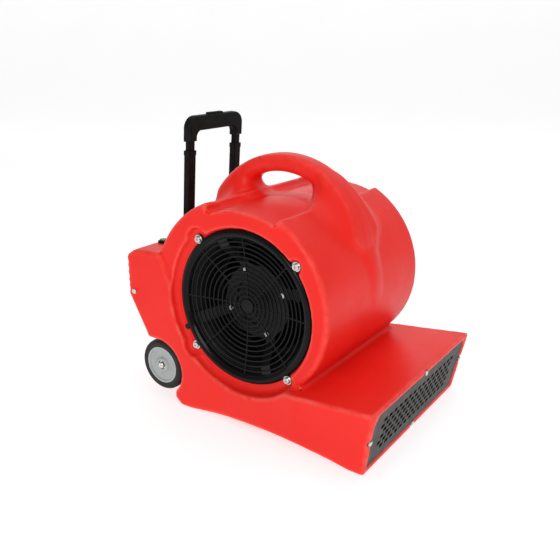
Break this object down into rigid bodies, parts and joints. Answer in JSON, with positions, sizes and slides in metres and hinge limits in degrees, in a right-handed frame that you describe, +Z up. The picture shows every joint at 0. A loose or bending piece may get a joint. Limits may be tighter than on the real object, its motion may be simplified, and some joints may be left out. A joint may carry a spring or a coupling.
{
  "type": "air mover",
  "caption": "Commercial air mover with a moulded scroll housing, side intakes, slotted front outlet, carry arch, transport wheels and a telescopic trolley handle.",
  "frame": {"origin": "centre of the bounding box on the floor, under the fan", "axes": "+X across the machine along the fan axis and wheel axle, -Y towards the air outlet, +Z up"},
  "size_m": [0.3978, 0.532, 0.5255],
  "materials": {
    "shell_red": "moulded polyethylene, satin with a fine texture",
    "black_gloss": "glossy black moulding",
    "zinc_steel": "bright zinc plate",
    "galvanised_sheet": "dark painted sheet",
    "grey_sheet": "dark grey powder coat",
    "motor_black": "black enamel",
    "steel": "ground steel",
    "lamination": "stacked electrical steel",
    "copper": "enamelled copper wire",
    "fan_black": "black moulding",
    "hub_metal": "die-cast",
    "tyre_rubber": "black rubber",
    "hub_grey": "grey moulding, satin",
    "tube_black": "black powder coat",
    "handle_plastic": "black moulding, fine grain",
    "rocker_green": "translucent green",
    "capacitor_white": "white can",
    "clip_steel": "spring steel"
  },
  "bodies": {
    "root": {"axle": "zinc_steel", "axle_clips": "zinc_steel", "axle_spacers": "zinc_steel", "capacitor_clip": "clip_steel", "cord_gland": "handle_plastic", "grille_screws_left": "zinc_steel", "grille_screws_right": "zinc_steel", "grille_washers_left": "zinc_steel", "grille_washers_right": "zinc_steel", "handle_bracket": "tube_black", "handle_collar_left": "handle_plastic", "handle_collar_right": "handle_plastic", "handle_foot_left": "handle_plastic", "handle_foot_right": "handle_plastic", "handle_outer_tube_left": "tube_black", "handle_outer_tube_right": "tube_black", "housing": "shell_red", "inlet_ring_left": "galvanised_sheet", "inlet_ring_right": "galvanised_sheet", "intake_grille_left": "black_gloss", "intake_grille_right": "black_gloss", "motor_bearing_left": "steel", "motor_bearing_right": "steel", "motor_bolts": "zinc_steel", "motor_bracket": "motor_black", "motor_case": "motor_black", "motor_end_bell_left": "motor_black", "motor_end_bell_right": "motor_black", "outlet_grille": "grey_sheet", "outlet_screws": "zinc_steel", "run_capacitor": "capacitor_white", "side_screws": "zinc_steel", "stator_core": "lamination", "stator_windings": "copper", "switch_frame_centre": "black_gloss", "switch_frame_left": "black_gloss", "switch_frame_right": "black_gloss", "terminal_block": "handle_plastic"},
    "fan_rotor": {"fan_wheel": "fan_black", "fan_hub": "hub_metal", "hub_set_screw": "zinc_steel", "motor_shaft": "steel", "rotor_core": "lamination"},
    "wheel_left": {"tyre_left": "tyre_rubber", "wheel_hub_left": "hub_grey"},
    "wheel_right": {"tyre_right": "tyre_rubber", "wheel_hub_right": "hub_grey"},
    "handle_middle_stage": {"handle_mid_tube_left": "tube_black", "handle_mid_tube_right": "tube_black", "handle_mid_collar_left": "handle_plastic", "handle_mid_collar_right": "handle_plastic"},
    "handle_grip_stage": {"handle_inner_tube_left": "tube_black", "handle_inner_tube_right": "tube_black", "grip": "handle_plastic"},
    "handle_button": {"grip_button": "handle_plastic", "latch_yoke": "steel"},
    "rocker_left": {"switch_rocker_left": "rocker_green"},
    "rocker_centre": {"switch_rocker_centre": "rocker_green"},
    "rocker_right": {"switch_rocker_right": "rocker_green"}
  },
  "joints": [
    {"name": "fan_spin", "type": "hinge", "parent": "root", "child": "fan_rotor", "pos_m": [0, 0.0065, 0.2215], "axis": [1, 0, 0], "continuous": true},
    {"name": "wheel_left_roll", "type": "hinge", "parent": "root", "child": "wheel_left", "pos_m": [-0.1525, 0.201, 0.0655], "axis": [1, 0, 0], "continuous": true},
    {"name": "wheel_right_roll", "type": "hinge", "parent": "root", "child": "wheel_right", "pos_m": [0.1525, 0.201, 0.0655], "axis": [1, 0, 0], "continuous": true},
    {"name": "handle_middle_slide", "type": "slide", "parent": "root", "child": "handle_middle_stage", "axis": [0, -0.075, 0.9972], "range_m": [-0.1035, 0.03]},
    {"name": "handle_grip_slide", "type": "slide", "parent": "handle_middle_stage", "child": "handle_grip_stage", "axis": [0, -0.075, 0.9972], "range_m": [-0.016, 0.125]},
    {"name": "button_press", "type": "slide", "parent": "handle_grip_stage", "child": "handle_button", "axis": [0, 0.075, -0.9972], "range_m": [0, 0.003], "stiffness_N_per_m": 1500, "springref_m": -0.002},
    {"name": "rocker_left_tilt", "type": "hinge", "parent": "root", "child": "rocker_left", "pos_m": [-0.107, 0.23007, 0.29223], "axis": [1, 0, 0], "range_deg": [0, 16]},
    {"name": "rocker_centre_tilt", "type": "hinge", "parent": "root", "child": "rocker_centre", "pos_m": [0, 0.23007, 0.29223], "axis": [1, 0, 0], "range_deg": [0, 16]},
    {"name": "rocker_right_tilt", "type": "hinge", "parent": "root", "child": "rocker_right", "pos_m": [0.107, 0.23007, 0.29223], "axis": [1, 0, 0], "range_deg": [0, 16]}
  ]
}
